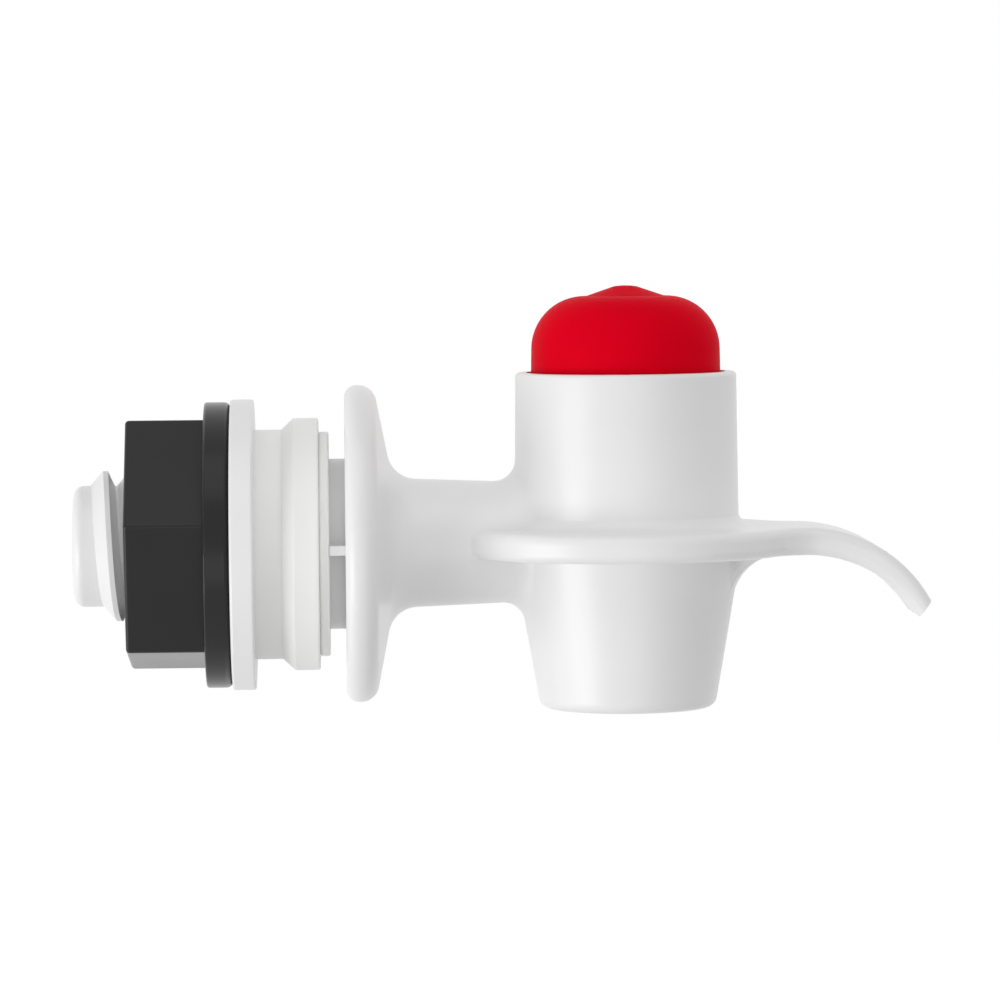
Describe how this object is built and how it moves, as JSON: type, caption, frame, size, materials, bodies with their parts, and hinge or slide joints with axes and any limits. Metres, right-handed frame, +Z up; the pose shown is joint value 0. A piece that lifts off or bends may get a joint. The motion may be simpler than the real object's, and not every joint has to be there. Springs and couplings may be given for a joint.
{
  "type": "push-button tap",
  "caption": "Push-button tap for a drinks flask: threaded shank with gaskets and flanged nut, outlet pipe, upright barrel with a push button, finger plate with a hook and a spout.",
  "frame": {"origin": "on the shank's axis, in the plane of the flask wall's outer face, where the wall bush meets the gasket", "axes": "+X out of the flask along the shank to the spout, +Z up to the button, +Y by the right-hand rule; the picture looks along +Y"},
  "size_m": [0.1021, 0.0404, 0.0506],
  "materials": {
    "white_plastic": "gloss",
    "washer_plastic": "satin",
    "white_rubber": "matt",
    "black_plastic": "gloss",
    "red_plastic": "satin",
    "stem_plastic": "satin",
    "seal_rubber": "matt",
    "spring_steel": "satin"
  },
  "bodies": {
    "tap": {"tap_body": "white_plastic", "wall_bush": "white_rubber", "outer_gasket": "white_rubber", "lip_washer": "white_rubber", "stem_seal": "seal_rubber", "gland_washer": "stem_plastic", "return_spring": "spring_steel"},
    "button": {"push_button": "red_plastic", "valve_stem": "stem_plastic", "valve_stopper": "seal_rubber"},
    "washer": {"nut_washer": "washer_plastic"},
    "nut": {"lock_nut": "black_plastic"}
  },
  "joints": [
    {"name": "button_press", "type": "slide", "parent": "tap", "child": "button", "axis": [0, 0, -1], "range_m": [0, 0.005], "stiffness_N_per_m": 900, "springref_m": -0.005, "deforming": ["return_spring"]},
    {"name": "nut_travel", "type": "slide", "parent": "tap", "child": "washer", "axis": [-1, 0, 0], "range_m": [0, 0.01761]},
    {"name": "nut_turn", "type": "hinge", "parent": "washer", "child": "nut", "pos_m": [-0.01, 0, 0], "axis": [-1, 0, 0], "range_deg": [0, 1980]}
  ],
  "couplings": [
    {"joint": "nut_travel", "follows": "nut_turn", "m_per_rad": 0.0005093}
  ]
}
